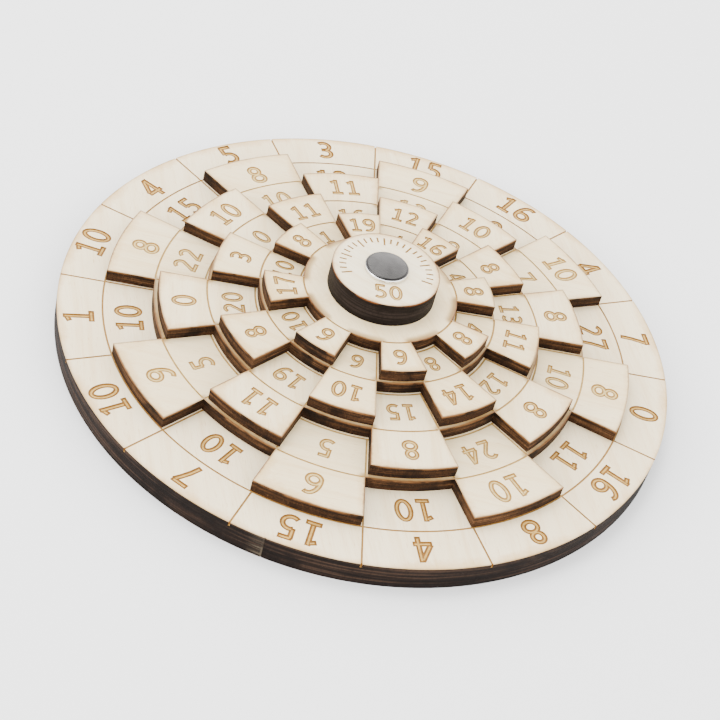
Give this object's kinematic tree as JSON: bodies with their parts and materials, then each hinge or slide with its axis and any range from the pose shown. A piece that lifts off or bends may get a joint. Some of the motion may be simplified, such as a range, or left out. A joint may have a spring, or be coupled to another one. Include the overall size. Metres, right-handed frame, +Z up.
{
  "type": "number-ring combination puzzle",
  "caption": "Round plywood number puzzle with stacked tabbed dials that turn on a centre pivot, raised knob and domed metal cap.",
  "frame": {"origin": "centre of the base's underside", "axes": "+Z up along the pivot, away from the surface it rests on; the X axis runs along a line between two columns of numbers"},
  "size_m": [0.14, 0.14, 0.0249],
  "materials": {
    "plywood": "raw birch plywood, laser-charred edges and tan engraving",
    "chrome": "polished domed head",
    "steel": "zinc-plated, satin"
  },
  "bodies": {
    "base": {"base_backing_disc": "plywood", "base_number_disc": "plywood", "pivot_barrel": "chrome", "pivot_screw": "steel", "pivot_washer": "steel"},
    "ring_1": {"dial_1": "plywood"},
    "ring_2": {"dial_2": "plywood"},
    "ring_3": {"dial_3": "plywood"},
    "ring_4": {"dial_4": "plywood", "knob_lower_disc": "plywood", "knob_upper_disc": "plywood"}
  },
  "joints": [
    {"name": "dial_1_spin", "type": "hinge", "parent": "base", "child": "ring_1", "pos_m": [0, 0, 0.00735], "axis": [0, 0, 1], "continuous": true},
    {"name": "dial_2_spin", "type": "hinge", "parent": "base", "child": "ring_2", "pos_m": [0, 0, 0.01035], "axis": [0, 0, 1], "continuous": true},
    {"name": "dial_3_spin", "type": "hinge", "parent": "base", "child": "ring_3", "pos_m": [0, 0, 0.01335], "axis": [0, 0, 1], "continuous": true},
    {"name": "dial_4_spin", "type": "hinge", "parent": "base", "child": "ring_4", "pos_m": [0, 0, 0.01635], "axis": [0, 0, 1], "continuous": true}
  ]
}
